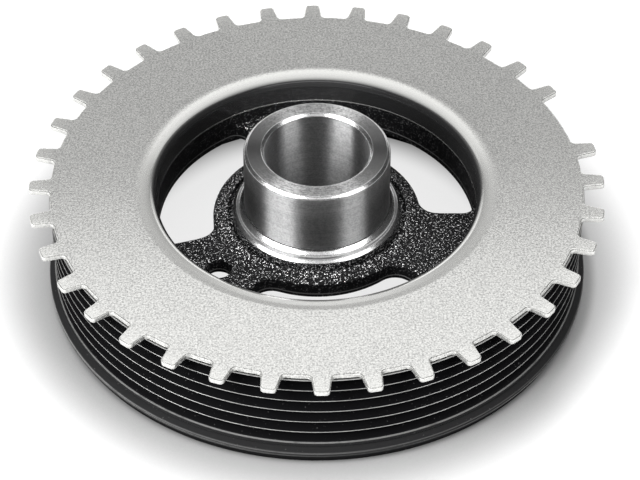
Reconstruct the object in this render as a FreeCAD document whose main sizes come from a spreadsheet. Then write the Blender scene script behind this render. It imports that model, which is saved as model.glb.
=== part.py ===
import FreeCAD, Part
import math
import os

import Sketcher

# Crankshaft harmonic balancer with a 36 minus 1 trigger wheel, in millimetres.
# +Z runs along the crankshaft towards the engine, so the nose points up.
# The origin is on the axis, in the plane of the pulley's front face.

os.makedirs("parts", exist_ok=True)
doc = FreeCAD.newDocument("harmonic_balancer")

# Driving sizes

DRIVING_SIZES = [
    # Belt grooves and inertia ring
    ("groove_count", 6),
    ("groove_pitch", 3.56),
    ("groove_depth", 3.0),
    ("groove_angle", 40),
    ("ring_wall", 13.9),
    ("top_land", 0.2),
    ("low_land", 1.04),
    ("lip_rise", 1.5),
    ("lip_height", 3.6),
    ("lip_slope", 1.1),
    ("lip_chamfer", 0.9),
    # Elastomer ring
    ("rubber_thickness", 4.0),
    ("rubber_recess", 1.2),
    # Trigger wheel
    ("tooth_count", 36),
    ("teeth_left_out", 1),
    ("missing_tooth_angle", 21.1),
    ("root_set_back", 0.3),
    ("tooth_height", 5.4),
    ("tooth_tip_width", 3.7),
    ("tooth_root_width", 5.0),
    ("sheet_thickness", 1.5),
    ("wheel_gap", 0.2),
    ("flange_radius", 40.5),
    ("flange_depth", 7.3),
    ("flange_round", 1.9),
    ("flange_round_flats", 3),
    ("draw_in_width", 1.6),
    ("draw_in_angle", 8),
    # Hub: nose, shoulder and collar
    ("bore_radius", 13.15),
    ("bore_chamfer", 0.8),
    ("nose_wall", 5.25),
    ("nose_height", 11.3),
    ("nose_chamfer", 0.8),
    ("nose_foot_chamfer", 1.3),
    ("shoulder_width", 3.0),
    ("shoulder_rise", 2.6),
    ("shoulder_bevel", 0.9),
    ("relief_width", 1.3),
    ("relief_drop", 1.0),
    ("collar_width", 3.7),
    ("collar_rise", 0.8),
    ("collar_slope", 2.6),
    # Hub: web, spokes and windows
    ("web_depth", 10.0),
    ("web_thickness", 5.0),
    ("spoke_count", 3),
    ("first_window_angle", 39),
    ("window_span", 78),
    ("window_inner_fillet", 5.0),
    ("window_outer_fillet", 3.5),
    ("spoke_hole_radius", 3.2),
    ("spoke_hole_offset", 5.6),
    ("spoke_hole_angle", 181.3),
    # Hub: rim and front boss
    ("rim_step", 0.1),
    ("rim_wall", 7.5),
    ("rim_foot_height", 6.0),
    ("rim_foot_width", 2.5),
    ("boss_height", 5.0),
    ("boss_wall", 7.35),
    ("boss_draft", 4),
]

# Sizes that follow from the driving ones

DERIVED_SIZES = [
    # Radii, from the bore outwards
    ("nose_radius", "bore_radius + nose_wall"),
    ("shoulder_radius", "nose_radius + shoulder_width"),
    ("relief_radius", "shoulder_radius + relief_width"),
    ("window_inner_radius", "relief_radius + collar_width"),
    ("spoke_hole_pitch_radius", "window_inner_radius + spoke_hole_offset"),
    ("boss_radius", "bore_radius + boss_wall"),
    ("boss_root_radius", "boss_radius + boss_height * tan(boss_draft * 1deg)"),
    ("rim_bore", "flange_radius - rim_step"),
    ("draw_in_radius", "flange_radius + flange_round + draw_in_width"),
    ("flange_outer_radius", "flange_radius + sheet_thickness"),
    ("rim_radius", "flange_outer_radius + rim_wall"),
    ("rim_foot_radius", "rim_radius - rim_foot_width"),
    ("ring_inner_radius", "rim_radius + rubber_thickness"),
    ("crest_radius", "ring_inner_radius + ring_wall"),
    ("lip_radius", "crest_radius + lip_rise"),
    ("root_radius", "crest_radius - root_set_back"),
    ("tip_radius", "root_radius + tooth_height"),
    # Heights, from the belt ring's foot upwards
    ("low_land_base", "lip_height + lip_slope"),
    ("groove_base", "low_land_base + low_land"),
    ("groove_run", "groove_depth * tan(groove_angle / 2 * 1deg)"),
    ("ring_top", "groove_base + groove_count * groove_pitch + top_land"),
    ("wheel_under", "ring_top + wheel_gap"),
    ("wheel_top", "wheel_under + sheet_thickness"),
    ("flange_end", "wheel_top - flange_depth"),
    ("draw_in_drop", "draw_in_width * tan(draw_in_angle * 1deg)"),
    ("round_height", "wheel_top - draw_in_drop - flange_round / cos(draw_in_angle * 1deg)"),
    ("round_turn", "(90 - draw_in_angle) / flange_round_flats"),
    ("web_top", "wheel_top - web_depth"),
    ("web_under", "web_top - web_thickness"),
    ("relief_bottom", "web_top - relief_drop"),
    ("shoulder_top", "web_top + shoulder_rise"),
    ("nose_top", "wheel_top + nose_height"),
    ("rim_foot", "web_under - rim_foot_height"),
    ("bolt_face", "web_under - boss_height"),
    ("rubber_top", "wheel_under - rubber_recess"),
    ("rubber_foot", "rim_foot + rubber_recess"),
    # The tooth pattern
    ("tooth_step", "360 / tooth_count"),
    ("tooth_foot_radius", "root_radius - tooth_height / 2"),
    ("tooth_foot_width", "tooth_root_width + (tooth_root_width - tooth_tip_width) / 2"),
]

sheet = doc.addObject("Spreadsheet::Sheet", "Sizes")
row = 0
for alias, value in DRIVING_SIZES:
    row += 1
    sheet.set(f"A{row}", alias)
    sheet.set(f"B{row}", str(value))
    sheet.setAlias(f"B{row}", alias)
doc.recompute()
for alias, formula in DERIVED_SIZES:
    row += 1
    sheet.set(f"A{row}", alias)
    sheet.set(f"B{row}", "=" + formula)
    sheet.setAlias(f"B{row}", alias)
    doc.recompute()

KNOWN = {alias for alias, rest in DRIVING_SIZES + DERIVED_SIZES}
UP = FreeCAD.Vector(0, 0, 1)
NEAR = 1e-4


def size(alias):
    return float(sheet.get(alias))


def bound(formula):
    # Aliases in a formula, written as references to the sheet.
    words = formula.replace("(", "( ").replace(")", " )").split()
    return " ".join("Sizes." + word if word in KNOWN else word for word in words)


def value_of(formula):
    result = sheet.evalExpression(bound(formula))
    return float(getattr(result, "Value", result))


def new_body(name):
    body = doc.addObject("PartDesign::Body", name)
    body.Label = name
    return body


def origin_part(body, role):
    return [f for f in body.Origin.OriginFeatures if f.Role == role][0]


def new_sketch(body, name, role, level=None):
    # A sketch on one of the body's origin planes, raised by a height where one is given.
    sketch = body.newObject("Sketcher::SketchObject", name)
    sketch.AttachmentSupport = (origin_part(body, role), "")
    sketch.MapMode = "FlatFace"
    if level:
        sketch.setExpression("AttachmentOffset.Base.z", bound(level))
    return sketch


def rule(sketch, kind, *terms, formula=None):
    # One constraint of a sketch; with a formula it is a dimension bound to the sheet.
    if formula is None:
        sketch.addConstraint(Sketcher.Constraint(kind, *terms))
        return
    number = sketch.addConstraint(Sketcher.Constraint(kind, *terms, value_of(formula)))
    sketch.setExpression(f"Constraints[{number}]", bound(formula))


def datum(sketch, kind, geometry, point, formula):
    # A corner's distance from the sketch's origin along one axis.
    if formula == "0":
        axis = -2 if kind == "DistanceX" else -1
        rule(sketch, "PointOnObject", geometry, point, axis)
        return
    rule(sketch, kind, -1, 1, geometry, point, formula=formula)


def incline(sketch, line, formula):
    # The angle of a line to the sketch's horizontal axis, in degrees.
    start = math.radians(value_of(formula))
    number = sketch.addConstraint(Sketcher.Constraint("Angle", line, start))
    sketch.setExpression(f"Constraints[{number}]", f"({bound(formula)}) * 1deg")


def spot(reach, angle):
    # A point of a sketch by its distance and angle from the origin.
    return FreeCAD.Vector(reach * math.cos(angle), reach * math.sin(angle), 0)


def arc(centre, radius, start, end):
    return Part.ArcOfCircle(Part.Circle(centre, UP, radius), start, end)


def add_outline(sketch, corners):
    # A closed outline of straight edges; each corner is a pair of formulas, across and up.
    places = [FreeCAD.Vector(value_of(x), value_of(y), 0) for x, y in corners]
    count = len(corners)
    for i in range(count):
        sketch.addGeometry(Part.LineSegment(places[i], places[(i + 1) % count]))
    for i in range(count):
        rule(sketch, "Coincident", i, 2, (i + 1) % count, 1)
    for axis, kind, flat in ((0, "DistanceX", "Vertical"), (1, "DistanceY", "Horizontal")):
        for i in range(count):
            here, before, first = corners[i][axis], corners[i - 1][axis], corners[0][axis]
            if i > 0 and here == before:
                rule(sketch, flat, i - 1)
            elif i == count - 1 and here == first:
                rule(sketch, flat, i)
            else:
                datum(sketch, kind, i, 1, here)


def revolve(body, name, corners):
    sketch = new_sketch(body, name + "_section", "XZ_Plane")
    add_outline(sketch, corners)
    turned = body.newObject("PartDesign::Revolution", name)
    turned.Profile = sketch
    turned.ReferenceAxis = (sketch, ["V_Axis"])
    turned.Angle = 360
    doc.recompute()
    return turned


def circles(feature, radius, height):
    # Names of the full circles of one radius at one height.
    names = []
    for i, edge in enumerate(feature.Shape.Edges):
        curve = edge.Curve
        if not isinstance(curve, Part.Circle):
            continue
        if abs(curve.Radius - radius) < NEAR and abs(curve.Center.z - height) < NEAR:
            names.append(f"Edge{i + 1}")
    return names


def dress(body, kind, name, base, edges, formula):
    # A fillet or chamfer of one size on chosen edges of the feature before it.
    if not edges:
        raise RuntimeError(f"{name} finds no edge")
    feature = body.newObject(f"PartDesign::{kind}", name)
    feature.Base = (base, edges)
    feature.setExpression("Radius" if kind == "Fillet" else "Size", bound(formula))
    doc.recompute()
    return feature


def must_cut(before, after, name):
    if after.Shape.Volume > before.Shape.Volume - NEAR:
        raise RuntimeError(f"{name} removes nothing")


def pocket_up(body, name, sketch):
    # A pocket from the sketch's plane towards +Z, through everything above it.
    before = body.Tip
    pocket = body.newObject("PartDesign::Pocket", name)
    pocket.Profile = sketch
    pocket.Reversed = True
    pocket.Type = "ThroughAll"
    doc.recompute()
    must_cut(before, pocket, name)
    return pocket


def polar(body, name, originals, count, angle):
    pattern = body.newObject("PartDesign::PolarPattern", name)
    pattern.Originals = originals
    pattern.Axis = (origin_part(body, "Z_Axis"), [""])
    pattern.setExpression("Occurrences", bound(count))
    pattern.setExpression("Angle", bound(angle) + " * 1deg")
    body.Tip = pattern
    doc.recompute()
    return pattern


def turn_to(body, formula):
    # The body's angle about the crankshaft's axis.
    body.Placement = FreeCAD.Placement(FreeCAD.Vector(), FreeCAD.Rotation(UP, value_of(formula)))
    body.setExpression("Placement.Rotation.Angle", f"({bound(formula)}) * 1deg")


# Inertia ring: a lip, a land and the belt grooves, one above the other

ring = new_body("inertia_ring")
ring_corners = [
    ("ring_inner_radius", "0"),
    ("lip_radius", "0"),
    ("lip_radius", "lip_height"),
    ("crest_radius", "low_land_base"),
    ("crest_radius", "groove_base"),
]
for i in range(int(size("groove_count"))):
    ring_corners += [
        ("crest_radius - groove_depth", f"groove_base + {i} * groove_pitch + groove_run"),
        ("crest_radius - groove_depth", f"groove_base + {i + 1} * groove_pitch - groove_run"),
        ("crest_radius", f"groove_base + {i + 1} * groove_pitch"),
    ]
ring_corners += [("crest_radius", "ring_top"), ("ring_inner_radius", "ring_top")]
ring_turned = revolve(ring, "grooved_ring", ring_corners)
lip_edges = circles(ring_turned, size("lip_radius"), 0)
dress(ring, "Chamfer", "lip_edge", ring_turned, lip_edges, "lip_chamfer")

# Elastomer ring: it fills the gap between the rim and the inertia ring, set back from both ends of the rim

rubber = new_body("elastomer_ring")
revolve(
    rubber,
    "rubber_band",
    [
        ("rim_radius", "rubber_foot"),
        ("rim_radius", "rubber_top"),
        ("ring_inner_radius", "rubber_top"),
        ("ring_inner_radius", "rubber_foot"),
    ],
)

# Trigger wheel: a stamped disc, drawn in and rolled down into a flange at its inner edge

wheel = new_body("trigger_wheel")
wheel_corners = [("flange_radius", "flange_end")]
for i in range(int(size("flange_round_flats")) + 1):
    turn = f"{i} * round_turn * 1deg"
    wheel_corners.append(
        (
            f"flange_radius + flange_round * (1 - cos({turn}))",
            f"round_height + flange_round * sin({turn})",
        )
    )
wheel_corners += [
    ("draw_in_radius", "wheel_top"),
    ("root_radius", "wheel_top"),
    ("root_radius", "wheel_under"),
    ("flange_outer_radius", "wheel_under"),
    ("flange_outer_radius", "flange_end"),
]
revolve(wheel, "wheel_disc", wheel_corners)


def add_tooth_outline(sketch):
    # A tooth about the X axis: its foot lies inside the disc, and its tip is an arc about the wheel's axis.
    foot, half_foot = value_of("tooth_foot_radius"), value_of("tooth_foot_width") / 2
    tip, half_tip = value_of("tip_radius"), value_of("tooth_tip_width") / 2
    spread = math.asin(half_tip / tip)
    left_low, left_high = FreeCAD.Vector(foot, -half_foot, 0), FreeCAD.Vector(foot, half_foot, 0)
    sketch.addGeometry(Part.LineSegment(left_low, left_high))
    sketch.addGeometry(Part.LineSegment(left_high, spot(tip, spread)))
    sketch.addGeometry(arc(FreeCAD.Vector(), tip, -spread, spread))
    sketch.addGeometry(Part.LineSegment(left_low, spot(tip, -spread)))
    for joint in ((0, 2, 1, 1), (1, 2, 2, 2), (0, 1, 3, 1), (3, 2, 2, 1), (2, 3, -1, 1)):
        rule(sketch, "Coincident", *joint)
    rule(sketch, "Radius", 2, formula="tip_radius")
    rule(sketch, "Symmetric", 0, 1, 0, 2, -1)
    datum(sketch, "DistanceX", 0, 1, "tooth_foot_radius")
    rule(sketch, "DistanceY", 0, 1, 0, 2, formula="tooth_foot_width")
    rule(sketch, "DistanceY", -1, 1, 2, 2, formula="tooth_tip_width / 2")
    rule(sketch, "DistanceY", 2, 1, -1, 1, formula="tooth_tip_width / 2")


tooth_section = new_sketch(wheel, "tooth_section", "XY_Plane", "wheel_under")
add_tooth_outline(tooth_section)
tooth = wheel.newObject("PartDesign::Pad", "tooth")
tooth.Profile = tooth_section
tooth.setExpression("Length", bound("sheet_thickness"))
doc.recompute()
TEETH_LEFT = "tooth_count - teeth_left_out"
polar(wheel, "teeth", [tooth], TEETH_LEFT, f"({TEETH_LEFT} - 1) * tooth_step")
turn_to(wheel, "missing_tooth_angle + tooth_step")

# Hub: the turned outline first, then its fillets and bevels, then the windows

hub = new_body("hub")
hub_turned = revolve(
    hub,
    "hub_casting",
    [
        ("bore_radius", "bolt_face"),
        ("bore_radius", "nose_top"),
        ("nose_radius", "nose_top"),
        ("nose_radius", "shoulder_top"),
        ("shoulder_radius - shoulder_bevel", "shoulder_top"),
        ("shoulder_radius", "shoulder_top - shoulder_bevel"),
        ("shoulder_radius", "relief_bottom"),
        ("relief_radius", "relief_bottom"),
        ("relief_radius", "web_top + collar_rise"),
        ("relief_radius + collar_slope", "web_top"),
        ("rim_bore", "web_top"),
        ("rim_bore", "flange_end"),
        ("flange_outer_radius", "flange_end"),
        ("flange_outer_radius", "wheel_under"),
        ("rim_radius", "wheel_under"),
        ("rim_radius", "rim_foot"),
        ("rim_foot_radius", "rim_foot"),
        ("rim_bore", "web_under"),
        ("boss_root_radius", "web_under"),
        ("boss_radius", "bolt_face"),
    ],
)
HUB_EDGES = [
    ("nose_foot", "nose_radius", "shoulder_top", "nose_foot_chamfer"),
    ("nose_mouth", "bore_radius", "nose_top", "bore_chamfer"),
    ("nose_rim", "nose_radius", "nose_top", "nose_chamfer"),
    ("bolt_mouth", "bore_radius", "bolt_face", "bore_chamfer"),
]
trimmed = hub_turned
for name, reach, height, amount in HUB_EDGES:
    chosen = circles(trimmed, size(reach), size(height))
    trimmed = dress(hub, "Chamfer", name, trimmed, chosen, amount)


def add_window_outline(sketch):
    # A window about the X axis: two arcs about the hub's axis, two radial sides and four rounded corners.
    lower, upper = size("window_inner_radius"), size("rim_bore")
    tight, wide = size("window_inner_fillet"), size("window_outer_fillet")
    lean = math.radians(size("window_span") / 2)
    near_turn = lean - math.asin(tight / (lower + tight))
    far_turn = lean - math.asin(wide / (upper - wide))
    quarter, half = math.pi / 2, math.pi
    near_high, near_low = spot(lower + tight, near_turn), spot(lower + tight, -near_turn)
    far_high, far_low = spot(upper - wide, far_turn), spot(upper - wide, -far_turn)
    up_side, down_side = spot(1, lean + quarter), spot(1, -lean - quarter)
    sketch.addGeometry(arc(FreeCAD.Vector(), lower, -near_turn, near_turn))
    sketch.addGeometry(arc(near_high, tight, lean + quarter, near_turn + half))
    sketch.addGeometry(Part.LineSegment(near_high + up_side * tight, far_high + up_side * wide))
    sketch.addGeometry(arc(far_high, wide, far_turn, lean + quarter))
    sketch.addGeometry(arc(FreeCAD.Vector(), upper, -far_turn, far_turn))
    sketch.addGeometry(arc(far_low, wide, -lean - quarter, -far_turn))
    sketch.addGeometry(Part.LineSegment(near_low + down_side * tight, far_low + down_side * wide))
    sketch.addGeometry(arc(near_low, tight, half - near_turn, 1.5 * half - lean))
    for joint in (
        (0, 2, 1, 2),
        (1, 1, 2, 1),
        (2, 2, 3, 2),
        (3, 1, 4, 2),
        (4, 1, 5, 2),
        (5, 1, 6, 2),
        (6, 1, 7, 2),
        (7, 1, 0, 1),
    ):
        rule(sketch, "Tangent", *joint)
    rule(sketch, "Radius", 0, formula="window_inner_radius")
    rule(sketch, "Radius", 4, formula="rim_bore")
    rule(sketch, "Radius", 1, formula="window_inner_fillet")
    rule(sketch, "Radius", 3, formula="window_outer_fillet")
    rule(sketch, "Equal", 1, 7)
    rule(sketch, "Equal", 3, 5)
    for curve in (0, 4):
        rule(sketch, "Coincident", curve, 3, -1, 1)
    for side, turn in ((2, "window_span / 2"), (6, "- window_span / 2")):
        incline(sketch, side, turn)
        rule(sketch, "PointOnObject", -1, 1, side)


window_outline = new_sketch(hub, "window_outline", "XY_Plane", "web_under")
add_window_outline(window_outline)
window = pocket_up(hub, "window", window_outline)
polar(hub, "windows", [window], "spoke_count", "360")

hole_sketch = new_sketch(hub, "spoke_hole_outline", "XY_Plane", "web_under")
hole_centre = spot(size("spoke_hole_pitch_radius"), math.radians(size("spoke_hole_angle")))
hole_sketch.addGeometry(Part.Circle(hole_centre, UP, size("spoke_hole_radius")))
hole_sketch.addGeometry(Part.LineSegment(FreeCAD.Vector(), hole_centre), True)
rule(hole_sketch, "Radius", 0, formula="spoke_hole_radius")
rule(hole_sketch, "Coincident", 1, 1, -1, 1)
rule(hole_sketch, "Coincident", 1, 2, 0, 3)
rule(hole_sketch, "Distance", 1, formula="spoke_hole_pitch_radius")
incline(hole_sketch, 1, "spoke_hole_angle")
pocket_up(hub, "spoke_hole", hole_sketch)
turn_to(hub, "first_window_angle")

# Every feature is checked before any file is written

doc.recompute()
for feature in doc.Objects:
    if "Invalid" in feature.State or "Error" in feature.State:
        raise RuntimeError(f"{feature.Name} failed: {feature.State}")
for body in (hub, rubber, ring, wheel):
    shape = body.Shape
    if shape.isNull() or not shape.isValid() or len(shape.Solids) != 1:
        raise RuntimeError(f"{body.Label} is not one valid solid")
    shape.exportStep(f"parts/{body.Label}.step")
    box = shape.BoundBox
    print(f"{body.Label}: {shape.Volume:.0f} mm3, {box.XLength:.1f} x {box.YLength:.1f} x {box.ZLength:.1f} mm")
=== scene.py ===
import math

import bmesh
import bpy
from mathutils import Matrix, Vector


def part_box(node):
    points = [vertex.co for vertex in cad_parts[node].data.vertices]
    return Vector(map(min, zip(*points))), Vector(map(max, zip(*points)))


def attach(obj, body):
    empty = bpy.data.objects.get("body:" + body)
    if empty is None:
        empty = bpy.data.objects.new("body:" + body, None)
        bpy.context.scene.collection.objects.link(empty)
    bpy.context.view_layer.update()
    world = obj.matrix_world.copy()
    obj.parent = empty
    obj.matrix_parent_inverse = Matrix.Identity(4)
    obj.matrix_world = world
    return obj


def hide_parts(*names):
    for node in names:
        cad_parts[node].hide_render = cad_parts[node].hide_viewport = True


# Harmonic balancer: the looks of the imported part. Lengths are in metres, +Z is up the nose.

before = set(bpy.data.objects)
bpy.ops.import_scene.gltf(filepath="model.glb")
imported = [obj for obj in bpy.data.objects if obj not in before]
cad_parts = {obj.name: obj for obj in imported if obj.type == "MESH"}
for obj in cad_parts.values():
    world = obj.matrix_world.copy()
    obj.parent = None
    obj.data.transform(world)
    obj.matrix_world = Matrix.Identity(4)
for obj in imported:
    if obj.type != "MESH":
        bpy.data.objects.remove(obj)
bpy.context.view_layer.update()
mm = 0.001
print("frame loaded")


# Small tools for working on one mesh at a time


def editOnly(piece):
    bpy.ops.object.select_all(action="DESELECT")
    bpy.context.view_layer.objects.active = piece
    piece.select_set(True)
    bpy.ops.object.mode_set(mode="EDIT")
    bpy.ops.mesh.select_all(action="DESELECT")


def pick(piece, wanted, kind="EDGE"):
    # selects the edges or points for which wanted says yes, and counts them
    bpy.ops.mesh.select_mode(type=kind)
    bpy.ops.mesh.select_all(action="DESELECT")
    mesh = bmesh.from_edit_mesh(piece.data)
    items = mesh.edges if kind == "EDGE" else mesh.verts
    count = 0
    for item in items:
        if wanted(item):
            item.select = True
            count += 1
    mesh.select_flush_mode()
    bmesh.update_edit_mesh(piece.data)
    return count


def reach(point):
    return math.hypot(point.co.x, point.co.y)


def onCircle(radius, height, slack=0.03 * mm):
    # a test for edges that lie on one level circle about the crankshaft's axis
    def test(edge):
        return all(abs(reach(v) - radius) < slack and abs(v.co.z - height) < slack for v in edge.verts)

    return test


def finishMesh(piece, angle=35):
    bpy.ops.object.mode_set(mode="OBJECT")
    bpy.ops.object.select_all(action="DESELECT")
    bpy.context.view_layer.objects.active = piece
    piece.select_set(True)
    bpy.ops.object.shade_smooth_by_angle(angle=math.radians(angle))
    bpy.ops.object.modifier_add(type="WEIGHTED_NORMAL")
    piece.modifiers[-1].keep_sharp = True
    bpy.ops.object.modifier_apply(modifier=piece.modifiers[-1].name)


def drawPath(name, points, closed=True):
    # one point, extruded from place to place along a path
    bpy.ops.object.select_all(action="DESELECT")
    bpy.ops.mesh.primitive_plane_add(size=mm, location=(0, 0, 0))
    piece = bpy.context.active_object
    piece.name = name
    piece.data.name = name
    bpy.ops.object.mode_set(mode="EDIT")
    bpy.ops.mesh.select_mode(type="VERT")
    bpy.ops.mesh.select_all(action="SELECT")
    bpy.ops.mesh.merge(type="CENTER")
    bpy.ops.transform.translate(value=points[0])
    for before, after in zip(points, points[1:]):
        bpy.ops.mesh.extrude_vertices_move(TRANSFORM_OT_translate={"value": Vector(after) - Vector(before)})
    if closed:
        pickPoints(piece, (points[0], points[-1]))
        bpy.ops.mesh.edge_face_add()
    return piece


def sectionPoints(corners, turn=0.0):
    # radius and height pairs as points of the half plane at one angle
    side = math.radians(turn)
    return [(r * math.cos(side), r * math.sin(side), z) for r, z in corners]


def pickPoints(piece, places):
    return pick(piece, lambda v: any((v.co - Vector(place)).length < 0.001 * mm for place in places), "VERT")


def roundCorners(piece, places, size, steps):
    # turns some corners of a drawn path into arcs
    pickPoints(piece, places)
    bpy.ops.mesh.bevel(offset=size, segments=steps, affect="VERTICES", profile=0.5)


def spinPath(steps):
    bpy.ops.mesh.select_all(action="SELECT")
    bpy.ops.mesh.spin(steps=steps, angle=2 * math.pi, center=(0, 0, 0), axis=(0, 0, 1))
    bpy.ops.mesh.select_all(action="SELECT")
    bpy.ops.mesh.remove_doubles(threshold=0.001 * mm)
    bpy.ops.mesh.select_all(action="SELECT")
    bpy.ops.mesh.normals_make_consistent(inside=False)


def mergedCopy(node, name):
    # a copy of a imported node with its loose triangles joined, in pairs where they are level
    piece = bpy.data.objects.new(name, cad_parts[node].data.copy())
    piece.data.name = name
    bpy.context.scene.collection.objects.link(piece)
    editOnly(piece)
    bpy.ops.mesh.customdata_custom_splitnormals_clear()
    bpy.ops.mesh.select_all(action="SELECT")
    bpy.ops.mesh.remove_doubles(threshold=0.002 * mm)
    bpy.ops.mesh.select_all(action="SELECT")
    bpy.ops.mesh.tris_convert_to_quads(face_threshold=math.radians(1), shape_threshold=math.radians(60))
    bpy.ops.mesh.select_all(action="SELECT")
    bpy.ops.mesh.normals_make_consistent(inside=False)
    return piece


def bevelEdges(piece, wanted, size, steps):
    if pick(piece, wanted):
        bpy.ops.mesh.bevel(offset=size, segments=steps, affect="EDGES", profile=0.5)


# Inertia ring: spun from a half section with round crests and groove floors

ringSizes = {
    "grooves": 6,
    "groovePitch": 3.56 * mm,
    "grooveDepth": 3.0 * mm,
    "grooveAngle": 40,
    "crestRound": 0.3 * mm,
    "floorRound": 0.35 * mm,
    "lowLand": 1.04 * mm,
    "lipRise": 1.5 * mm,
    "lipHeight": 3.6 * mm,
    "lipSlope": 1.1 * mm,
    "dipDepth": 0.4 * mm,
    "footInset": 1.1 * mm,
    "footHeight": 2.4 * mm,
    "lipRound": 0.25 * mm,
    "boreChamfer": 0.8 * mm,
    "steps": 240,
}


def makeRing(sizes):
    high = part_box("inertia_ring")[1]
    lipRadius, top = high.x, high.z
    crest = lipRadius - sizes["lipRise"]
    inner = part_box("elastomer_ring")[1].x
    run = sizes["grooveDepth"] * math.tan(math.radians(sizes["grooveAngle"] / 2))
    floor = crest - sizes["grooveDepth"]
    landBase = sizes["lipHeight"] + sizes["lipSlope"]
    grooveBase = landBase + sizes["lowLand"]
    lip, foot = sizes["lipHeight"], sizes["footHeight"]
    corners = [
        (inner, sizes["boreChamfer"]),
        (inner + sizes["boreChamfer"], 0),
        (lipRadius - sizes["footInset"], 0),
        (lipRadius, foot),
        (lipRadius, lip),
        (crest - sizes["dipDepth"], lip + sizes["lipSlope"] / 2),
        (crest, landBase),
        (crest, grooveBase),
    ]
    floors, crests = [], [(crest, grooveBase)]
    for i in range(sizes["grooves"]):
        start = grooveBase + i * sizes["groovePitch"]
        end = start + sizes["groovePitch"]
        floors += [(floor, start + run), (floor, end - run)]
        crests.append((crest, end))
        corners += [(floor, start + run), (floor, end - run), (crest, end)]
    corners += [(crest, top), (inner, top)]
    piece = drawPath("groovedRing", sectionPoints(corners))
    roundCorners(piece, sectionPoints(floors), sizes["floorRound"], 3)
    roundCorners(piece, sectionPoints(crests[1:-1]), sizes["crestRound"], 3)
    roundCorners(piece, sectionPoints([(lipRadius, lip), (lipRadius, foot)]), sizes["lipRound"], 2)
    spinPath(sizes["steps"])
    finishMesh(piece)
    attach(piece, "root")
    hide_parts("inertia_ring")
    return piece


# Elastomer ring: the rubber's free ends are drawn in a little between the two metal rings

rubberSizes = {
    "thickness": 4.0 * mm,
    "sag": 0.6 * mm,
    "edge": 0.9 * mm,
    "hollowRound": 0.6 * mm,
    "steps": 180,
}


def makeRubber(sizes):
    low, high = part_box("elastomer_ring")
    inner = high.x - sizes["thickness"]
    outer, foot, top = high.x, low.z, high.z
    sag, edge = sizes["sag"], sizes["edge"]
    hollows = [
        (inner + edge, foot + sag),
        (outer - edge, foot + sag),
        (outer - edge, top - sag),
        (inner + edge, top - sag),
    ]
    corners = [(inner, foot), *hollows[:2], (outer, foot), (outer, top), *hollows[2:], (inner, top)]
    piece = drawPath("rubberRing", sectionPoints(corners))
    roundCorners(piece, sectionPoints(hollows), sizes["hollowRound"], 4)
    spinPath(sizes["steps"])
    finishMesh(piece, angle=50)
    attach(piece, "root")
    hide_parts("elastomer_ring")
    return piece


# Toothed wheel: a spun disc with a rolled inner edge, and a band of stamped teeth joined to it

wheelSizes = {
    "toothPlaces": 36,
    "gapTurn": 21.1,
    "tip": 72.5 * mm,
    "root": 67.1 * mm,
    "halfTip": 1.85 * mm,
    "halfRoot": 2.5 * mm,
    "tipRound": 0.85 * mm,
    "rootRound": 0.95 * mm,
    "band": 64.5 * mm,
    "sheet": 1.5 * mm,
    "flange": 40.5 * mm,
    "rollRound": 2.4 * mm,
    "rollAngle": 82,
    "rollSteps": 10,
    "drawIn": 45.0 * mm,
    "topEdge": 0.4 * mm,
    "underEdge": 0.15 * mm,
    "edgesFrom": 66 * mm,
    "endRound": 0.3 * mm,
    "drawInRound": 1.0 * mm,
    "steps": 360,
}


def toothPath(sizes, turn, height, toothed):
    # the outline of one tooth's place, from the disc to the tip, and the corners to be rounded, worked out
    # as radii and degrees
    root = sizes["root"]
    foot = math.degrees(math.asin(sizes["halfRoot"] / root))
    tip = math.degrees(math.asin(sizes["halfTip"] / sizes["tip"]))
    half = 180 / sizes["toothPlaces"]
    inner = [(sizes["band"], half - i) for i in range(int(2 * half) + 1)]
    low = [(root, -half), (root, -half + 1), (root, -half + 2)]
    high = [(r, -a) for r, a in reversed(low)]
    roots = [(root, -foot), (root, foot)]
    tips = [(sizes["tip"], -tip), (sizes["tip"], tip)]
    if toothed:
        path = inner + low + [roots[0], tips[0], (sizes["tip"], 0), tips[1], roots[1]] + high
    else:
        path = inner + low + [(root, a) for a in (-2, -1, 0, 1, 2)] + high

    def place(spots):
        placed = []
        for radius, angle in spots:
            side = math.radians(turn + angle)
            placed.append((radius * math.cos(side), radius * math.sin(side), height))
        return placed

    return place(path), place(roots), place(tips)


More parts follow.
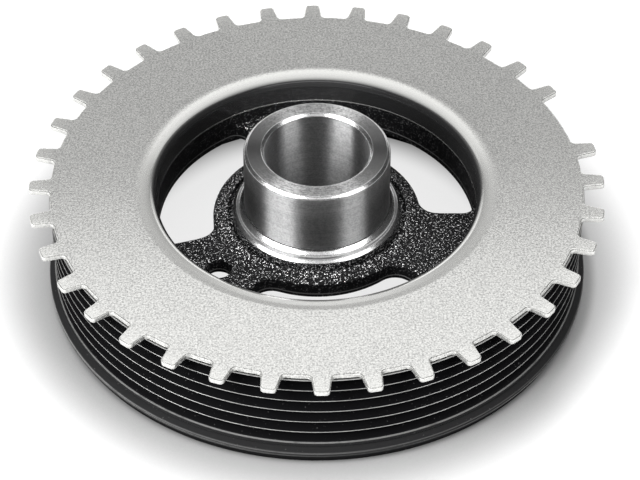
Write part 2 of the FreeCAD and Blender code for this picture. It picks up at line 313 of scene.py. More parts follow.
def makeBand(sizes, top):
    step = 360 / sizes["toothPlaces"]
    path, _, _ = toothPath(sizes, sizes["gapTurn"], top, False)
    gap = drawPath("gapPlace", path)
    bpy.ops.mesh.select_all(action="SELECT")
    bpy.ops.mesh.edge_face_add()
    bpy.ops.object.mode_set(mode="OBJECT")
    # the copies go round clockwise, from one side of the gap to the other
    path, roots, tips = toothPath(sizes, sizes["gapTurn"] - step, top, True)
    teeth = drawPath("toothBand", path)
    roundCorners(teeth, roots, sizes["rootRound"], 5)
    roundCorners(teeth, tips, sizes["tipRound"], 5)
    bpy.ops.mesh.select_all(action="SELECT")
    bpy.ops.mesh.edge_face_add()
    bpy.ops.mesh.select_all(action="SELECT")
    count = sizes["toothPlaces"] - 2
    whole = math.radians(step * count)
    bpy.ops.mesh.spin(steps=count, dupli=True, angle=whole, center=(0, 0, 0), axis=(0, 0, 1))
    bpy.ops.object.mode_set(mode="OBJECT")
    bpy.ops.object.select_all(action="DESELECT")
    gap.select_set(True)
    teeth.select_set(True)
    bpy.context.view_layer.objects.active = teeth
    bpy.ops.object.join()
    editOnly(teeth)
    bpy.ops.mesh.select_all(action="SELECT")
    bpy.ops.mesh.remove_doubles(threshold=0.002 * mm)
    bpy.ops.mesh.select_mode(type="FACE")
    bpy.ops.mesh.select_all(action="SELECT")
    bpy.ops.mesh.extrude_region_move(TRANSFORM_OT_translate={"value": (0, 0, -sizes["sheet"])})
    mesh = bmesh.from_edit_mesh(teeth.data)
    for face in mesh.faces:
        face.select = all(abs(reach(v) - sizes["band"]) < 0.01 * mm for v in face.verts)
    bmesh.update_edit_mesh(teeth.data)
    bpy.ops.mesh.delete(type="ONLY_FACE")
    bpy.ops.object.mode_set(mode="OBJECT")
    return teeth


def makeWheel(sizes):
    low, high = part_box("trigger_wheel")
    top, end = high.z, low.z
    under = top - sizes["sheet"]
    teeth = makeBand(sizes, top)
    rollRound, rollSteps, discEdge = sizes["rollRound"], sizes["rollSteps"], sizes["band"]
    middle = sizes["flange"] + rollRound
    slope = (sizes["drawIn"] - middle) * math.tan(math.radians(90 - sizes["rollAngle"]))
    rise = top - slope - rollRound
    turns = [math.radians(sizes["rollAngle"] * i / rollSteps) for i in range(rollSteps + 1)]
    roll = [(middle - rollRound * math.cos(t), rise + rollRound * math.sin(t)) for t in turns]
    outer = sizes["flange"] + sizes["sheet"]
    corners = [(outer, end), (sizes["flange"], end), (sizes["drawIn"], top), (outer, under)]
    path = [(discEdge, under), corners[3], corners[0], corners[1], *roll, corners[2], (discEdge, top)]
    # the spun points fall on the band's, which lie whole degrees from the gap
    start = sizes["gapTurn"] % 1
    piece = drawPath("toothedWheel", sectionPoints(path, start), closed=False)
    roundCorners(piece, sectionPoints(corners[:2], start), sizes["endRound"], 3)
    roundCorners(piece, sectionPoints([corners[2]], start), sizes["drawInRound"], 5)
    spinPath(sizes["steps"])
    bpy.ops.object.mode_set(mode="OBJECT")
    teeth.select_set(True)
    piece.select_set(True)
    bpy.context.view_layer.objects.active = piece
    bpy.ops.object.join()
    editOnly(piece)
    bpy.ops.mesh.select_all(action="SELECT")
    bpy.ops.mesh.remove_doubles(threshold=0.003 * mm)
    bpy.ops.mesh.select_all(action="SELECT")
    bpy.ops.mesh.normals_make_consistent(inside=False)

    def outline(height):
        def test(edge):
            if any(abs(v.co.z - height) > 0.01 * mm or reach(v) < sizes["edgesFrom"] for v in edge.verts):
                return False
            return len(edge.link_faces) == 2 and edge.calc_face_angle(0) > math.radians(60)

        return test

    bevelEdges(piece, outline(top), sizes["topEdge"], 3)
    bevelEdges(piece, outline(under), sizes["underEdge"], 2)
    finishMesh(piece, angle=40)
    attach(piece, "root")
    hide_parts("trigger_wheel")
    return piece


# Hub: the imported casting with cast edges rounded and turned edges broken

hubSizes = {
    "nose": 18.4 * mm,
    "bore": 13.15 * mm,
    "footChamfer": 1.3 * mm,
    "shoulder": 21.4 * mm,
    "shoulderBevel": 0.9 * mm,
    "relief": 22.7 * mm,
    "collarRise": 0.8 * mm,
    "webTop": 19.0 * mm,
    "webUnder": 14.0 * mm,
    "shoulderTop": 21.6 * mm,
    "rimBore": 40.4 * mm,
    "endChamfer": 0.8 * mm,
    "footRound": 0.5 * mm,
    "turnedRound": 0.3 * mm,
    "mouthRound": 0.2 * mm,
    "castFrom": 26 * mm,
    "castRim": 0.9 * mm,
    "castRound": 0.8 * mm,
}


def makeHub(sizes):
    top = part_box("hub")[1].z
    piece = mergedCopy("hub", "castHub")
    nose, bore, shoulder = sizes["nose"], sizes["bore"], sizes["shoulder"]
    foot, bevel, end = sizes["footChamfer"], sizes["shoulderBevel"], sizes["endChamfer"]
    shoulderTop = sizes["shoulderTop"]
    # radius and height of each turned edge, and the size of its rounding
    turned = [
        (nose, shoulderTop + foot, sizes["footRound"]),
        (nose + foot, shoulderTop, sizes["footRound"]),
        (nose, top - end, sizes["turnedRound"]),
        (nose - end, top, sizes["turnedRound"]),
        (bore + end, top, sizes["mouthRound"]),
        (bore, top - end, sizes["mouthRound"]),
        (shoulder - bevel, shoulderTop, sizes["turnedRound"]),
        (shoulder, shoulderTop - bevel, sizes["turnedRound"]),
        (sizes["relief"], sizes["webTop"] + sizes["collarRise"], sizes["turnedRound"]),
    ]
    for radius, height, size in turned:
        bevelEdges(piece, onCircle(radius, height), size, 3)

    innermost, outermost = sizes["castFrom"], sizes["rimBore"] - sizes["castRim"]

    def castEdge(height):
        def test(edge):
            if any(abs(v.co.z - height) > 0.02 * mm for v in edge.verts):
                return False
            if any(not innermost < reach(v) < outermost for v in edge.verts):
                return False
            return len(edge.link_faces) == 2 and edge.calc_face_angle(0) > math.radians(60)

        return test

    bevelEdges(piece, castEdge(sizes["webTop"]), sizes["castRound"], 3)
    bevelEdges(piece, castEdge(sizes["webUnder"]), sizes["castRound"], 3)
    finishMesh(piece, angle=32)
    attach(piece, "root")
    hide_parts("hub")
    return piece


groovedRing = makeRing(ringSizes)
print("inertia ring made")
rubberRing = makeRubber(rubberSizes)
print("rubber ring made")
toothedWheel = makeWheel(wheelSizes)
print("toothed wheel made")
castHub = makeHub(hubSizes)
print("hub made")


# Nodes for the finishes


def feed(tree, node, inputs):
    for key, value in inputs.items():
        if isinstance(value, bpy.types.NodeSocket):
            tree.links.new(value, node.inputs[key])
        else:
            node.inputs[key].default_value = value


def add(tree, kind, inputs=None, **settings):
    made = tree.nodes.new(kind)
    for key, value in settings.items():
        setattr(made, key, value)
    feed(tree, made, inputs or {})
    return made


def math2(tree, operation, a, b=0.5):
    return add(tree, "ShaderNodeMath", {0: a, 1: b}, operation=operation).outputs[0]


def times(tree, a, b):
    return math2(tree, "MULTIPLY", a, b)


def band(tree, value, low, high, toLow=0.0, toHigh=1.0):
    # a smooth step of a value from one limit to another
    limits = {"Value": value, "From Min": low, "From Max": high, "To Min": toLow, "To Max": toHigh}
    made = add(tree, "ShaderNodeMapRange", limits, interpolation_type="SMOOTHSTEP")
    return made.outputs["Result"]


def mixColour(tree, factor, a, b):
    made = add(tree, "ShaderNodeMix", {"Factor": factor}, data_type="RGBA")
    for socket, value in ((made.inputs[6], a), (made.inputs[7], b)):
        if isinstance(value, bpy.types.NodeSocket):
            tree.links.new(value, socket)
        else:
            socket.default_value = (*value, 1)
    return made.outputs[2]


def mixValue(tree, factor, a, b):
    made = add(tree, "ShaderNodeMix", {"Factor": factor, 2: a, 3: b}, data_type="FLOAT")
    return made.outputs[0]


def noise(tree, vector, scale, detail=3.0, roughness=0.6):
    inputs = {"Vector": vector, "Scale": scale, "Detail": detail, "Roughness": roughness}
    return add(tree, "ShaderNodeTexNoise", inputs).outputs["Fac"]


def bump(tree, height, strength, distance, under=None):
    inputs = {"Height": height, "Strength": strength, "Distance": distance}
    if under is not None:
        inputs["Normal"] = under
    return add(tree, "ShaderNodeBump", inputs).outputs["Normal"]


def newGroup(name, inputs, outputs):
    group = bpy.data.node_groups.new(name, "ShaderNodeTree")
    for label, kind, value in inputs:
        socket = group.interface.new_socket(name=label, in_out="INPUT", socket_type=kind)
        if value is not None:
            socket.default_value = value
    for label, kind in outputs:
        group.interface.new_socket(name=label, in_out="OUTPUT", socket_type=kind)
    return group, add(group, "NodeGroupInput").outputs, add(group, "NodeGroupOutput")


def makePolar():
    # distance from the crankshaft's axis and height in millimetres, the angle in turns, and the direction
    # round the axis
    group, given, out = newGroup(
        "polarPlace",
        [("Place", "NodeSocketVector", None)],
        [
            ("Radius", "NodeSocketFloat"),
            ("Height", "NodeSocketFloat"),
            ("Turn", "NodeSocketFloat"),
            ("Round", "NodeSocketVector"),
        ],
    )
    parts = add(group, "ShaderNodeSeparateXYZ", {0: given["Place"]}).outputs
    flat = add(group, "ShaderNodeCombineXYZ", {0: parts["X"], 1: parts["Y"]}).outputs[0]
    length = add(group, "ShaderNodeVectorMath", {0: flat}, operation="LENGTH").outputs["Value"]
    angle = math2(group, "ARCTAN2", parts["Y"], parts["X"])
    side = add(group, "ShaderNodeVectorMath", {0: flat, 1: (0, 0, -1)}, operation="CROSS_PRODUCT").outputs[0]
    side = add(group, "ShaderNodeVectorMath", {0: side}, operation="NORMALIZE").outputs[0]
    turn = math2(group, "DIVIDE", angle, 2 * math.pi)
    feed(
        group,
        out,
        {
            "Round": side,
            "Radius": times(group, length, 1 / mm),
            "Height": times(group, parts["Z"], 1 / mm),
            "Turn": turn,
        },
    )
    return group


grainShape = {"wideShare": 0.35, "wideDetail": 2.0, "wideRoughness": 0.5, "speckStep": 0.04}


def makeGrain(shape):
    # fine and middling grain of a metal skin: a height and a speck mask
    group, given, out = newGroup(
        "metalGrain",
        [
            ("Place", "NodeSocketVector", None),
            ("Scale", "NodeSocketFloat", 1500.0),
            ("Coarse", "NodeSocketFloat", 0.5),
            ("Speck Level", "NodeSocketFloat", 0.62),
        ],
        [("Height", "NodeSocketFloat"), ("Specks", "NodeSocketFloat")],
    )
    fine = noise(group, given["Place"], given["Scale"])
    wideScale = times(group, given["Scale"], shape["wideShare"])
    wide = noise(group, given["Place"], wideScale, shape["wideDetail"], shape["wideRoughness"])
    upper = math2(group, "ADD", given["Speck Level"], shape["speckStep"])
    limits = {"Value": fine, "From Min": given["Speck Level"], "From Max": upper}
    specks = add(group, "ShaderNodeMapRange", limits).outputs["Result"]
    feed(group, out, {"Height": mixValue(group, given["Coarse"], fine, wide), "Specks": specks})
    return group


turningShape = {"drift": 1.5, "detail": 3.0, "roughness": 0.7}


def makeTurning(shape):
    # the fine lines that a lathe leaves, along one measure given in millimetres, a little uneven
    group, given, out = newGroup(
        "latheLines",
        [
            ("Along", "NodeSocketFloat", None),
            ("Turn", "NodeSocketFloat", None),
            ("Pitch", "NodeSocketFloat", 0.25),
        ],
        [("Lines", "NodeSocketFloat")],
    )
    place = math2(group, "DIVIDE", given["Along"], given["Pitch"])
    drift = times(group, given["Turn"], shape["drift"])
    vector = add(group, "ShaderNodeCombineXYZ", {0: place, 1: drift}).outputs[0]
    feed(group, out, {"Lines": noise(group, vector, 1.0, shape["detail"], shape["roughness"])})
    return group


polarGroup = makePolar()
grainGroup = makeGrain(grainShape)
turningGroup = makeTurning(turningShape)


def useGroup(tree, group, inputs):
    return add(tree, "ShaderNodeGroup", inputs, node_tree=group).outputs


def newMaterial(name):
    material = bpy.data.materials.new(name)
    material.use_nodes = True
    tree = material.node_tree
    tree.nodes.clear()
    shader = add(tree, "ShaderNodeBsdfPrincipled")
    out = add(tree, "ShaderNodeOutputMaterial")
    tree.links.new(shader.outputs[0], out.inputs["Surface"])
    place = add(tree, "ShaderNodeTexCoord").outputs["Object"]
    return material, tree, shader, place


# The finishes give radii and heights in millimetres, as the polar group does


# Stamped steel of the toothed wheel: satin zinc with a fine dull grain, painted highlights on the teeth and
# the rolled inner edge, and painted shade down the flange's wall

stampedFinish = {
    "pale": (0.86, 0.86, 0.835),
    "dull": (0.42, 0.42, 0.412),
    "toneRange": (0.5, 1.0),
    "grainScale": 2100.0,
    "grainCoarse": 0.1,
    "grainShare": 1.5,
    "grainDepth": 0.02 * mm,
    "cloudScale": 60.0,
    "cloudShare": 0.06,
    "metallic": 0.75,
    "roughness": (0.11, 0.17),
    "toothHighlightRadii": (66.0, 72.6),
    "toothHighlightShare": 0.5,
    "rollHighlightRadii": (43.5, 46.5),
    "rollHighlightShare": 0.95,
    "bumpRadii": (43.5, 47.0),
    "bumpStrength": 0.7,
    "paintedWallShade": (0.07, 0.07, 0.071),
    "wallShadeHeights": (27.9, 29.1),
    "wallFoot": 22.15,
    "flangeOut": 47.0,
}


def makeStamped(look):
    material, tree, shader, place = newMaterial("stampedSteel")
    polar = useGroup(tree, polarGroup, {"Place": place})
    out, up = polar["Radius"], polar["Height"]
    settings = {"Place": place, "Scale": look["grainScale"], "Coarse": look["grainCoarse"]}
    height = useGroup(tree, grainGroup, settings)["Height"]
    cloud = times(tree, noise(tree, place, look["cloudScale"]), look["cloudShare"])
    tone = math2(tree, "ADD", times(tree, height, look["grainShare"]), cloud)
    colour = mixColour(tree, band(tree, tone, *look["toneRange"]), look["dull"], look["pale"])
    # painted highlight: the teeth and the rolled inner edge are painted paler, where they catch the light
    edge = times(tree, band(tree, out, *look["toothHighlightRadii"]), look["toothHighlightShare"])
    colour = mixColour(tree, edge, colour, look["pale"])
    paintedRollHighlight = band(tree, out, *look["rollHighlightRadii"], look["rollHighlightShare"], 0.0)
    colour = mixColour(tree, paintedRollHighlight, colour, look["pale"])
    # painted shade: the flange's inner wall is painted near black below the wheel's top; a strip just above
    # the flange's end is left pale, a painted highlight line
    under = band(tree, up, *look["wallShadeHeights"], 1.0, 0.0)
    foot = math2(tree, "GREATER_THAN", up, look["wallFoot"])
    flange = math2(tree, "LESS_THAN", out, look["flangeOut"])
    paintedWallShade = times(tree, times(tree, under, foot), flange)
    strength = band(tree, out, *look["bumpRadii"], 0.0, look["bumpStrength"])
    feed(
        tree,
        shader,
        {
            "Base Color": mixColour(tree, paintedWallShade, colour, look["paintedWallShade"]),
            "Metallic": look["metallic"],
            "Roughness": mixValue(tree, height, look["roughness"][1], look["roughness"][0]),
            "Normal": bump(tree, height, strength, look["grainDepth"]),
        },
    )
    return material


# Hub casting: black coat over coarse sparkling grain; on upright walls and the rim it is smoother, with few
# specks as painted shade, and the collar gets more specks as painted highlight

castFinish = {
    "coat": (0.004, 0.004, 0.0045),
    "grit": (0.95, 0.95, 0.955),
    "grainScale": 2150.0,
    "grainCoarse": 0.35,
    "grainDepth": 0.8 * mm,
    "speckLevel": 0.585,
    "collarHighlightLevel": 0.565,
    "collar": 24.0,
    "collarOut": 25.5,
    "rimRadii": (39.6, 40.2),
    "uprightRange": (0.15, 0.5),
    "wallSpecks": 0.08,
    "wallBump": 0.12,
    "partingLineHighlight": (0.12, 0.12, 0.12),
    "seamHeight": 15.5,
    "seamRange": (0.08, 0.22),
    "gritMetallic": 0.85,
    "roughness": (0.42, 0.25),
    "specular": 0.16,
}


def makeCast(look):
    material, tree, shader, place = newMaterial("castIron")
    polar = useGroup(tree, polarGroup, {"Place": place})
    out, up = polar["Radius"], polar["Height"]
    # the raised collar gets more specks than the spokes: its own sparkle, made stronger as a painted
    # highlight where its ridge catches the light
    level = band(tree, out, look["collar"], look["collarOut"], look["collarHighlightLevel"], look["speckLevel"])
    settings = {
        "Place": place,
        "Scale": look["grainScale"],
        "Coarse": look["grainCoarse"],
        "Speck Level": level,
    }
    grain = useGroup(tree, grainGroup, settings)
    # painted shade: upright walls beyond the collar and the rim under the flange keep few white specks, so
    # they stay dark; their bump is smoother too
    facing = add(tree, "ShaderNodeNewGeometry").outputs["Normal"]
    facing = add(tree, "ShaderNodeSeparateXYZ", {0: facing}).outputs["Z"]
    upright = band(tree, math2(tree, "ABSOLUTE", facing), *look["uprightRange"], 1.0, 0.0)
    uprightSmoothAndShaded = times(tree, upright, math2(tree, "GREATER_THAN", out, look["collar"]))
    smoothAndShaded = math2(tree, "MAXIMUM", uprightSmoothAndShaded, band(tree, out, *look["rimRadii"]))
    specks = times(tree, grain["Specks"], mixValue(tree, smoothAndShaded, 1.0, look["wallSpecks"]))
    colour = mixColour(tree, specks, look["coat"], look["grit"])
    # the mould's parting line shows on the upright walls, painted lighter as a painted highlight along its
    # edge
    away = math2(tree, "ABSOLUTE", math2(tree, "SUBTRACT", up, look["seamHeight"]))
    partingLineHighlight = times(tree, band(tree, away, *look["seamRange"], 1.0, 0.0), upright)
    strength = mixValue(tree, smoothAndShaded, 1.0, look["wallBump"])
    feed(
        tree,
        shader,
        {
            "Base Color": mixColour(tree, partingLineHighlight, colour, look["partingLineHighlight"]),
            "Metallic": mixValue(tree, specks, 0.0, look["gritMetallic"]),
            "Roughness": mixValue(tree, specks, *look["roughness"]),
            "Specular IOR Level": look["specular"],
            "Normal": bump(tree, grain["Height"], strength, look["grainDepth"]),
        },
    )
    return material


# Turned steel of the nose, the bore and the bolt's seat: fine lines that run round the axis, and on the end
# face painted shade with painted highlight fans

turnedFinish = {
    "bright": (0.53, 0.53, 0.53),
    "stain": (0.33, 0.33, 0.333),
    "toneRange": (0.55, 0.95),
    "face": (0.22, 0.22, 0.22),
    "faceFanHighlight": (0.6, 0.6, 0.6),
    "faceStain": (0.2, 0.2, 0.2),
    "faceHeights": (40.16, 40.28),
    "fanRange": (0.35, 1.0),
    "linePitch": 0.28,
    "lineShare": 0.5,
    "lineBump": 0.3,
    "lineDepth": 0.012 * mm,
    "grainScale": 2200.0,
    "grainCoarse": 0.3,
    "grainBump": 0.25,
    "grainDepth": 0.02 * mm,
    "roughness": (0.32, 0.39),
    "anisotropy": 1.0,
    "rotation": 0.25,
}
# a paler copy of the turned steel for the bevels: a finer polish, and a paler colour as painted highlight
# where the bevels catch the light
bevelHighlightFinish = {
    **turnedFinish,
    "bright": (0.72, 0.72, 0.72),
    "stain": (0.5, 0.5, 0.5),
    "face": (0.72, 0.72, 0.72),
    "faceFanHighlight": (0.72, 0.72, 0.72),
    "faceStain": (0.5, 0.5, 0.5),
    "lineDepth": 0.006 * mm,
    "roughness": (0.2, 0.28),
    "anisotropy": 0.2,
}


def makeTurned(name, look):
    material, tree, shader, place = newMaterial(name)
    polar = useGroup(tree, polarGroup, {"Place": place})
    along = math2(tree, "ADD", polar["Radius"], polar["Height"])
    settings = {"Along": along, "Turn": polar["Turn"], "Pitch": look["linePitch"]}
    lines = useGroup(tree, turningGroup, settings)["Lines"]
    settings = {"Place": place, "Scale": look["grainScale"], "Coarse": look["grainCoarse"]}
    height = useGroup(tree, grainGroup, settings)["Height"]
    tone = math2(tree, "ADD", times(tree, lines, look["lineShare"]), height)
    tone = band(tree, tone, *look["toneRange"])
    face = band(tree, polar["Height"], *look["faceHeights"])
    # painted shade and highlight: the turned end face is painted darker than the walls, and paler in two
    # fans towards the front and the back where it would mirror the lights
    sideways = add(tree, "ShaderNodeSeparateXYZ", {0: polar["Round"]}).outputs["X"]
    paintedFan = band(tree, math2(tree, "ABSOLUTE", sideways), *look["fanRange"])
    paintedShine = mixColour(tree, paintedFan, look["face"], look["faceFanHighlight"])
    bright = mixColour(tree, face, look["bright"], paintedShine)
    dull = mixColour(tree, face, look["stain"], look["faceStain"])
    normal = bump(tree, lines, look["lineBump"], look["lineDepth"])
    feed(
        tree,
        shader,
        {
            "Base Color": mixColour(tree, tone, dull, bright),
            "Metallic": 1.0,
            "Roughness": mixValue(tree, height, *look["roughness"]),
            "Anisotropic": look["anisotropy"],
            "Anisotropic Rotation": look["rotation"],
            "Tangent": polar["Round"],
            "Normal": bump(tree, height, look["grainBump"], look["grainDepth"], normal),
        },
    )
    return material


# Grooved ring: black coat over turned iron, a little lighter on the lip band; worn bare along the crests and
# painted pale there as highlight lines, with a painted highlight line at the lip's upper edge

ringFinish = {
    "coat": (0.004, 0.004, 0.0045),
    "lipTone": (0.018, 0.018, 0.0185),
    "lipToneHeights": (5.6, 6.0),
    "wearAndHighlight": (0.55, 0.55, 0.54),
    "crestRadii": (67.1, 67.2),
    "landTop": 5.5,
    "lowCrest": 0.35,
    "lowCrestHeights": (5.9, 6.1),
    "lipRadii": (68.6, 68.8),
    "lipEdgeHeights": (3.35, 3.55),
    "lipEdgeHighlight": 0.06,
    "streakRange": (0.5, 0.68),
    "streaks": 0.65,
    "footHeights": (2.15, 2.45),
    "footRoughness": 0.85,
    "patchScale": 300.0,
    "patchRange": (0.3, 0.5),
    "patchLeast": 0.55,
    "specks": 0.15,
    "speckLevel": 0.68,
    "grainScale": 1500.0,
    "grainCoarse": 0.4,
    "grainBump": 0.3,
    "linePitch": 0.5,
    "lineBump": 0.5,
    "depth": 0.03 * mm,
    "metallic": 0.9,
    "roughness": (0.34, 0.4),
    "specular": 0.08,
}


def makeRingFinish(look):
    material, tree, shader, place = newMaterial("ringIron")
    polar = useGroup(tree, polarGroup, {"Place": place})
    out, up = polar["Radius"], polar["Height"]
    settings = {
        "Place": place,
        "Scale": look["grainScale"],
        "Coarse": look["grainCoarse"],
        "Speck Level": look["speckLevel"],
    }
    grain = useGroup(tree, grainGroup, settings)
    settings = {"Along": up, "Turn": polar["Turn"], "Pitch": look["linePitch"]}
    lines = useGroup(tree, turningGroup, settings)["Lines"]
    # the crests are worn bare and painted pale as highlight lines where their flats catch the light; the
    # lowest crest is painted less bright than the others, and the plain land under it not at all
    above = math2(tree, "GREATER_THAN", up, look["landTop"])
    crest = times(tree, band(tree, out, *look["crestRadii"]), above)
    crest = times(tree, crest, band(tree, up, *look["lowCrestHeights"], look["lowCrest"], 1.0))
    # below the lip the foot is left black and rough: painted shade where it falls back towards the floor
    foot = band(tree, up, *look["footHeights"], 1.0, 0.0)
    aboveFoot = math2(tree, "SUBTRACT", 1.0, foot)
    lip = times(tree, band(tree, out, *look["lipRadii"]), aboveFoot)
    # painted highlight: a thin pale line along the lip's upper edge
    edge = times(tree, lip, band(tree, up, *look["lipEdgeHeights"], 0.0, look["lipEdgeHighlight"]))
    streaks = times(tree, lip, band(tree, lines, *look["streakRange"], 0.0, look["streaks"]))
    patches = noise(tree, place, look["patchScale"])
    patches = band(tree, patches, *look["patchRange"], look["patchLeast"], 1.0)
    wearAndHighlight = times(tree, math2(tree, "MAXIMUM", crest, edge), patches)
    wearAndHighlight = math2(tree, "MAXIMUM", wearAndHighlight, times(tree, streaks, patches))
    wearAndHighlight = math2(tree, "MAXIMUM", wearAndHighlight, times(tree, grain["Specks"], look["specks"]))
    # the lip band, from the foot up to the lowest crest, is a little lighter than the rest of the coat
    lipTone = times(tree, band(tree, up, *look["lipToneHeights"], 1.0, 0.0), aboveFoot)
    coat = mixColour(tree, lipTone, look["coat"], look["lipTone"])
    rough = mixValue(tree, wearAndHighlight, *look["roughness"])
    normal = bump(tree, lines, look["lineBump"], look["depth"])
    feed(
        tree,
        shader,
        {
            "Base Color": mixColour(tree, wearAndHighlight, coat, look["wearAndHighlight"]),
            "Metallic": mixValue(tree, wearAndHighlight, 0.0, look["metallic"]),
            "Roughness": mixValue(tree, foot, rough, look["footRoughness"]),
            "Specular IOR Level": look["specular"],
            "Normal": bump(tree, grain["Height"], look["grainBump"], look["depth"], normal),
        },
    )
    return material


# Moulded rubber: black, with a little dust in clouds

rubberFinish = {
    "black": (0.012, 0.012, 0.012),
    "dusty": (0.035, 0.034, 0.033),
    "cloudScale": 120.0,
    "cloudDetail": 4.0,
    "cloudRange": (0.4, 0.75),
    "grainScale": 900.0,
    "grainCoarse": 0.6,
    "grainBump": 0.4,
    "grainDepth": 0.08 * mm,
    "roughness": (0.6, 0.85),
}


def makeRubberFinish(look):
    material, tree, shader, place = newMaterial("mouldedRubber")
    settings = {"Place": place, "Scale": look["grainScale"], "Coarse": look["grainCoarse"]}
    height = useGroup(tree, grainGroup, settings)["Height"]
    cloud = noise(tree, place, look["cloudScale"], look["cloudDetail"])
    dust = band(tree, cloud, *look["cloudRange"])
    feed(
        tree,
        shader,
        {
            "Base Color": mixColour(tree, dust, look["black"], look["dusty"]),
            "Roughness": mixValue(tree, height, *look["roughness"]),
            "Normal": bump(tree, height, look["grainBump"], look["grainDepth"]),
        },
    )
    return material


def dress(piece, material):
    piece.data.materials.clear()
    piece.data.materials.append(material)


stampedSteel = makeStamped(stampedFinish)
castIron = makeCast(castFinish)
turnedSteel = makeTurned("turnedSteel", turnedFinish)
paintedHighlightBevelSteel = makeTurned("paintedHighlightBevelSteel", bevelHighlightFinish)
ringIron = makeRingFinish(ringFinish)
mouldedRubber = makeRubberFinish(rubberFinish)
for piece, node, material in (
    (toothedWheel, "trigger_wheel", stampedSteel),
    (castHub, "hub", castIron),
    (groovedRing, "inertia_ring", ringIron),
    (rubberRing, "elastomer_ring", mouldedRubber),
):
    dress(piece, material)
    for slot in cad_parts[node].material_slots:
        slot.material = material

# the hub's turned faces, by radius and height, and the slope of the bevels between them
turnedZones = {
    "noseOut": 21.3,
    "noseFoot": 18.2,
    "shoulderOut": 21.9,
    "shoulderFoot": 20.6,
    "boreOut": 14.2,
    "seatOut": 20.3,
    "seatTop": 9.2,
    "steepest": 0.25,
    "flattest": 0.97,
}


def markTurned(piece, turned, bevelled, zones):
    piece.data.materials.append(turned)
    piece.data.materials.append(bevelled)
    for face in piece.data.polygons:
        out = math.hypot(face.center.x, face.center.y) / mm
        up = face.center.z / mm
        nose = out < zones["noseOut"] and up > zones["noseFoot"]
        shoulder = out < zones["shoulderOut"] and up > zones["shoulderFoot"]
        seat = out < zones["seatOut"] and up < zones["seatTop"]
        # the sloped bevels get the paler copy, a painted highlight
        sloped = up > zones["shoulderFoot"] and zones["steepest"] < face.normal.z < zones["flattest"]
        if nose or shoulder or seat or out < zones["boreOut"]:
            face.material_index = 2 if sloped else 1


markTurned(castHub, turnedSteel, paintedHighlightBevelSteel, turnedZones)
print("finishes made")


# Floor, light and camera

floorLook = {
    "size": 3.0,
    "colour": (0.72, 0.72, 0.72),
    "shade": 0.985,
    "shadeScale": 3.0,
    "roughness": 0.7,
    "specular": 0.2,
    "paintedShadow": 0.05,
    "paintedShadowPower": 1.2,
    "inside": 0.8,
    "insideRadii": (45.0, 60.0),
    "outside": 0.4,
    "outsideRadii": (71.0, 90.0),
    "rightSide": 0.2,
    "rightPlaces": (52 * mm, 74 * mm),
    "rightRadii": (70.0, 73.0),
}


def makeFloor(look):
    bpy.ops.object.select_all(action="DESELECT")
    bpy.ops.mesh.primitive_plane_add(size=look["size"], location=(0, 0, 0))
    floor = bpy.context.active_object
    floor.name = "floor"
    material, tree, shader, place = newMaterial("paleFloor")
    tone = noise(tree, place, look["shadeScale"], 2.0, 0.5)
    pale = look["colour"]
    colour = mixColour(tree, tone, pale, tuple(c * look["shade"] for c in pale))
    # painted shadow: the floor is painted darker near the object, most in the hollow under its edge
    paintedShadow = add(tree, "ShaderNodeAmbientOcclusion", {"Distance": look["paintedShadow"]}, samples=16).outputs["AO"]
    paintedShadow = math2(tree, "POWER", paintedShadow, look["paintedShadowPower"])
    colour = mixColour(tree, paintedShadow, (0.0, 0.0, 0.0), colour)
    # painted light: the camera alone sees it glow, inside the ring, around it and a little more at the
    # right; close round the ring it is left without glow, deepening the painted shadow
    away = useGroup(tree, polarGroup, {"Place": place})["Radius"]
    inner = band(tree, away, *look["insideRadii"], look["inside"], 0.0)
    outer = band(tree, away, *look["outsideRadii"], 0.0, look["outside"])
    across = add(tree, "ShaderNodeSeparateXYZ", {0: place}).outputs["X"]
    right = band(tree, across, *look["rightPlaces"], 0.0, look["rightSide"])
    right = times(tree, right, band(tree, away, *look["rightRadii"]))
    glow = math2(tree, "ADD", math2(tree, "ADD", inner, outer), right)
    seen = add(tree, "ShaderNodeLightPath").outputs["Is Camera Ray"]
    feed(
        tree,
        shader,
        {
            "Base Color": colour,
            "Roughness": look["roughness"],
            "Specular IOR Level": look["specular"],
            "Emission Color": (1, 1, 1, 1),
            "Emission Strength": times(tree, glow, seen),
        },
    )
    # from below the floor is clear, so that the underside can be seen
    clear = add(tree, "ShaderNodeBsdfTransparent").outputs[0]
    back = add(tree, "ShaderNodeNewGeometry").outputs["Backfacing"]
    mixed = add(tree, "ShaderNodeMixShader", {0: back, 1: shader.outputs[0], 2: clear}).outputs[0]
    tree.links.new(mixed, tree.nodes["Material Output"].inputs["Surface"])
    dress(floor, material)


lights = {
    # name: place, target, width, height, power in watts
    "overhead": ((0.0, 0.17, 0.55), (0, 0.17, 0), 0.8, 0.74, 1.68),
    "rear": ((0.0, 0.69, 0.55), (0, 0.69, 0), 0.9, 0.28, 0.14),
    "far": ((0.0, 1.2, 0.55), (0, 1.2, 0), 1.2, 0.7, 2.4),
    "backdrop": ((0.0, 1.25, 0.32), (0, 0, 0.05), 1.6, 0.5, 3.0),
    "left": ((-0.76, -0.55, 0.6), (0, 0, 0.03), 0.8, 0.9, 22.5),
    "right": ((0.76, -0.55, 0.6), (0, 0, 0.03), 0.6, 0.9, 9.2),
    "leftWheel": ((-0.76, -0.55, 0.6), (0, 0, 0.03), 0.8, 0.9, 22.5),
    "rightWheel": ((0.76, -0.55, 0.6), (0, 0, 0.03), 0.6, 0.9, 9.2),
    "front": ((0.0, -0.67, 0.7), (0, 0, 0.03), 1.1, 0.2, 1.0),
}


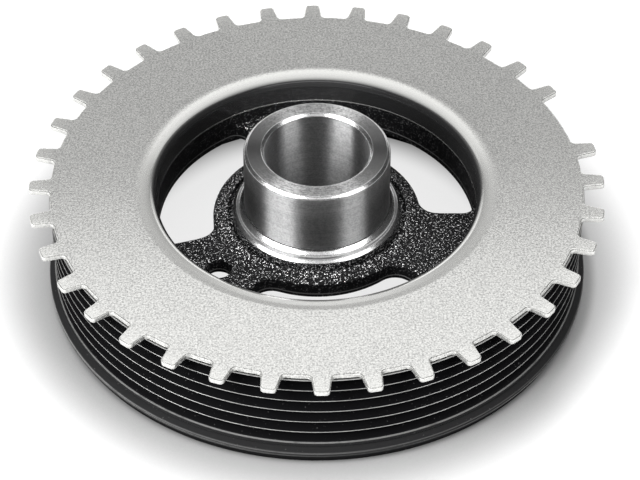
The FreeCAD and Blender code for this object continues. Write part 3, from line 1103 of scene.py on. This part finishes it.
def makeLight(name, place, target, width, height, power):
    data = bpy.data.lights.new(name, "AREA")
    data.shape = "RECTANGLE"
    data.size = width
    data.size_y = height
    data.energy = power
    light = bpy.data.objects.new(name, data)
    bpy.context.scene.collection.objects.link(light)
    light.location = place
    light.visible_camera = False
    light.rotation_euler = (Vector(place) - Vector(target)).to_track_quat("Z", "Y").to_euler()


def shareLights(wheel):
    # seen from behind, the wheel's flat top would mirror the two side boxes as plain white, so it gets
    # a box of its own on each side that lights it softly and isn't mirrored
    for ending, state in (("", "EXCLUDE"), ("Wheel", "INCLUDE")):
        lit = bpy.data.collections.new("lit" + ending)
        lit.objects.link(wheel)
        lit.collection_objects[0].light_linking.link_state = state
        for side in ("left", "right"):
            light = bpy.data.objects[side + ending]
            light.light_linking.receiver_collection = lit
            light.visible_glossy = state == "EXCLUDE"


cameraPlace = {
    "place": (0.81 * mm, -480.5 * mm, 460.3 * mm),
    "tilt": 46.80,
    "roll": 0.158,
    "lens": 144.1,
    "sensor": 36,
    "nearest": 0.01,
}


def makeCamera(look):
    data = bpy.data.cameras.new("camera")
    data.sensor_width = look["sensor"]
    data.lens = look["lens"]
    data.clip_start = look["nearest"]
    camera = bpy.data.objects.new("camera", data)
    bpy.context.scene.collection.objects.link(camera)
    tilt = Matrix.Rotation(math.radians(look["tilt"]), 4, "X")
    roll = Matrix.Rotation(math.radians(look["roll"]), 4, "Z")
    camera.matrix_world = Matrix.Translation(look["place"]) @ (tilt @ roll)
    bpy.context.scene.camera = camera


def makeWorld(strength):
    world = bpy.data.worlds.new("studio")
    bpy.context.scene.world = world
    world.use_nodes = True
    background = world.node_tree.nodes["Background"]
    background.inputs["Color"].default_value = (1, 1, 1, 1)
    background.inputs["Strength"].default_value = strength
    bpy.context.scene.view_settings.view_transform = "Standard"


makeFloor(floorLook)
for name, settings in lights.items():
    makeLight(name, *settings)
shareLights(toothedWheel)
makeCamera(cameraPlace)
makeWorld(strength=0.06)
print("floor, light and camera made")
